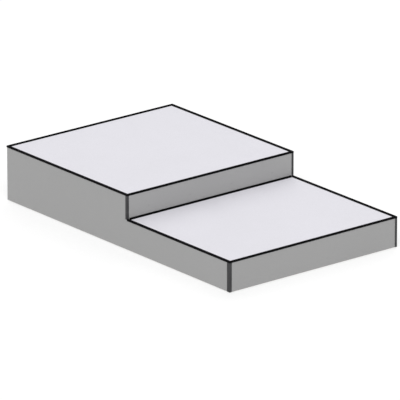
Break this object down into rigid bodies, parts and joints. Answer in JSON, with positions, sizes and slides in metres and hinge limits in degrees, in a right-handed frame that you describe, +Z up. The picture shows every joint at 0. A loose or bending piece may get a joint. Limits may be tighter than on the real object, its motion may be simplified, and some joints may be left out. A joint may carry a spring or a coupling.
{
  "type": "spa steps",
  "caption": "Wide two-level spa steps with deep flat treads, closed grey sides and dark edge trims, on levelling feet.",
  "frame": {"origin": "on the floor, under the middle of the footprint", "axes": "+Z up, +Y from the lower step to the back of the upper level, +X to the right seen from the lower step"},
  "size_m": [1.204, 2.004, 0.33],
  "materials": {
    "treated_timber": "pressure-treated, planed",
    "zinc_plate": "zinc plated",
    "screw_steel": "stainless",
    "insert_brass": "machined",
    "tape_rubber": "matt",
    "tread_sheet": "fine grained",
    "tread_plug": "matt",
    "cladding_sheet": "fine grained",
    "cladding_plug": "matt",
    "edge_trim_black": "satin",
    "corner_trim_grey": "satin",
    "foot_steel": "zinc plated",
    "foot_rubber": "matt"
  },
  "bodies": {
    "steps": {"lower_side_board_left": "treated_timber", "lower_side_board_right": "treated_timber", "lower_front_board": "treated_timber", "lower_front_joist_1": "treated_timber", "lower_front_joist_2": "treated_timber", "step_bearer": "treated_timber", "riser_bearer": "treated_timber", "lower_back_joist_1": "treated_timber", "lower_back_joist_2": "treated_timber", "lower_back_board": "treated_timber", "upper_side_board_left": "treated_timber", "upper_side_board_right": "treated_timber", "upper_front_board": "treated_timber", "upper_joist_1": "treated_timber", "upper_joist_2": "treated_timber", "upper_joist_3": "treated_timber", "upper_back_board": "treated_timber", "corner_brackets": "zinc_plate", "tie_plates": "zinc_plate", "frame_screws": "screw_steel", "bracket_screws": "screw_steel", "tread_screws": "screw_steel", "panel_screws": "screw_steel", "foot_inserts": "insert_brass", "joist_tape": "tape_rubber", "lower_tread": "tread_sheet", "upper_tread": "tread_sheet", "tread_screw_plugs": "tread_plug", "left_side_panel": "cladding_sheet", "right_side_panel": "cladding_sheet", "front_panel": "cladding_sheet", "riser_panel": "cladding_sheet", "back_panel": "cladding_sheet", "panel_screw_plugs": "cladding_plug", "upper_front_edge_trim": "edge_trim_black", "upper_back_edge_trim": "edge_trim_black", "upper_left_edge_trim": "edge_trim_black", "upper_right_edge_trim": "edge_trim_black", "lower_front_edge_trim": "edge_trim_black", "lower_left_edge_trim": "edge_trim_black", "lower_right_edge_trim": "edge_trim_black", "riser_cove_trim": "edge_trim_black", "front_left_corner_trim": "corner_trim_grey", "front_right_corner_trim": "corner_trim_grey", "riser_left_corner_trim": "corner_trim_grey", "riser_right_corner_trim": "corner_trim_grey"},
    "front_left_foot": {"foot_stud_front_left": "foot_steel", "foot_pad_front_left": "foot_rubber"},
    "front_right_foot": {"foot_stud_front_right": "foot_steel", "foot_pad_front_right": "foot_rubber"},
    "middle_left_foot": {"foot_stud_middle_left": "foot_steel", "foot_pad_middle_left": "foot_rubber"},
    "middle_right_foot": {"foot_stud_middle_right": "foot_steel", "foot_pad_middle_right": "foot_rubber"},
    "back_left_foot": {"foot_stud_back_left": "foot_steel", "foot_pad_back_left": "foot_rubber"},
    "back_right_foot": {"foot_stud_back_right": "foot_steel", "foot_pad_back_right": "foot_rubber"}
  },
  "joints": [
    {"name": "front_left_foot_height", "type": "slide", "parent": "steps", "child": "front_left_foot", "axis": [0, 0, -1], "range_m": [-0.003, 0.02]},
    {"name": "front_right_foot_height", "type": "slide", "parent": "steps", "child": "front_right_foot", "axis": [0, 0, -1], "range_m": [-0.003, 0.02]},
    {"name": "middle_left_foot_height", "type": "slide", "parent": "steps", "child": "middle_left_foot", "axis": [0, 0, -1], "range_m": [-0.003, 0.02]},
    {"name": "middle_right_foot_height", "type": "slide", "parent": "steps", "child": "middle_right_foot", "axis": [0, 0, -1], "range_m": [-0.003, 0.02]},
    {"name": "back_left_foot_height", "type": "slide", "parent": "steps", "child": "back_left_foot", "axis": [0, 0, -1], "range_m": [-0.003, 0.02]},
    {"name": "back_right_foot_height", "type": "slide", "parent": "steps", "child": "back_right_foot", "axis": [0, 0, -1], "range_m": [-0.003, 0.02]}
  ]
}
